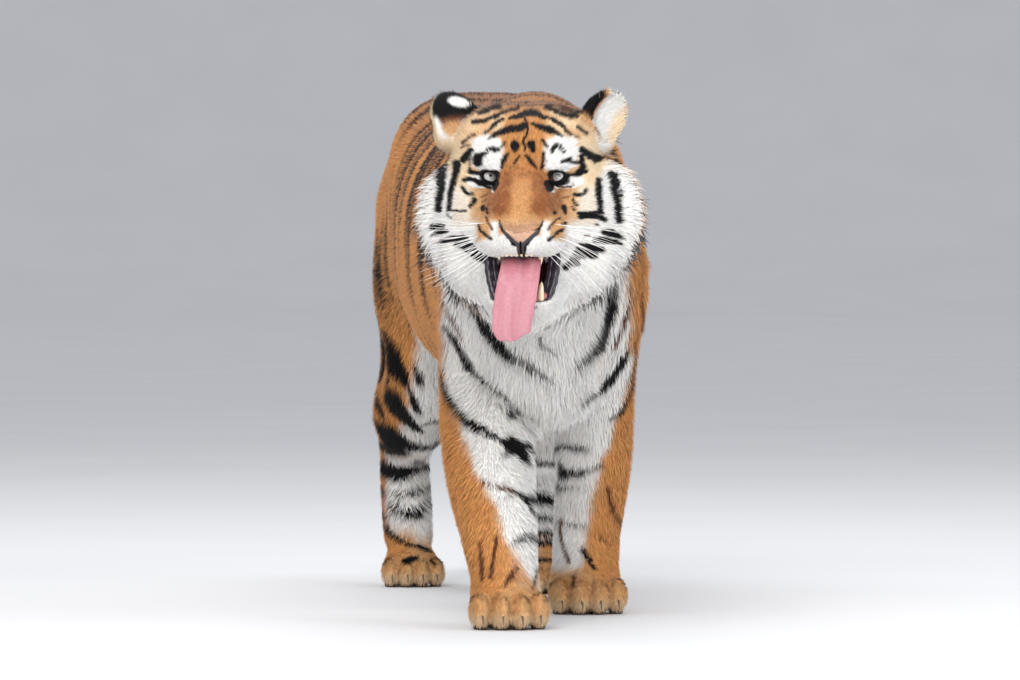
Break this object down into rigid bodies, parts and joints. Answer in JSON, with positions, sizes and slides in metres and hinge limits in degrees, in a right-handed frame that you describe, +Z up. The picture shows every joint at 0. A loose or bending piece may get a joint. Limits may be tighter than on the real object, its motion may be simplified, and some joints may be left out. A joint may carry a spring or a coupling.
{
  "type": "siberian tiger",
  "caption": "Life-size walking Siberian tiger in winter coat, mouth open and tongue out, as a still model resting on flat-soled paws.",
  "frame": {"origin": "on the ground, under the middle of the whole animal's box", "axes": "+Z up, the animal faces -Y, and its left side is +X"},
  "size_m": [0.4542, 2.3182, 0.9332],
  "materials": {
    "coat": "dense winter fur, orange with dark stripes and white underparts, matte",
    "pale_coat": "white chin fur, matte",
    "eye": "wet, glossy, pale grey iris",
    "nose": "fine pebbled nose leather, satin",
    "tongue": "moist pink tongue with fine papillae",
    "teeth": "ivory enamel, glossy",
    "lips": "black moist lip and mouth lining",
    "claws": "horn, satin"
  },
  "bodies": {
    "root": {"ear_left": "coat", "ear_right": "coat", "head": "coat", "neck": "coat", "chest": "coat", "barrel": "coat", "rump": "coat", "tail_base": "coat", "tail_middle": "coat", "tail_tip": "coat", "fore_left_upper": "coat", "fore_left_lower": "coat", "fore_left_paw": "coat", "fore_right_upper": "coat", "fore_right_lower": "coat", "fore_right_paw": "coat", "hind_left_thigh": "coat", "hind_left_shank": "coat", "hind_left_paw": "coat", "hind_right_thigh": "coat", "hind_right_shank": "coat", "hind_right_paw": "coat", "lower_jaw": "pale_coat", "eye_left": "eye", "eye_right": "eye", "nose": "nose", "tongue": "tongue"}
  },
  "joints": []
}
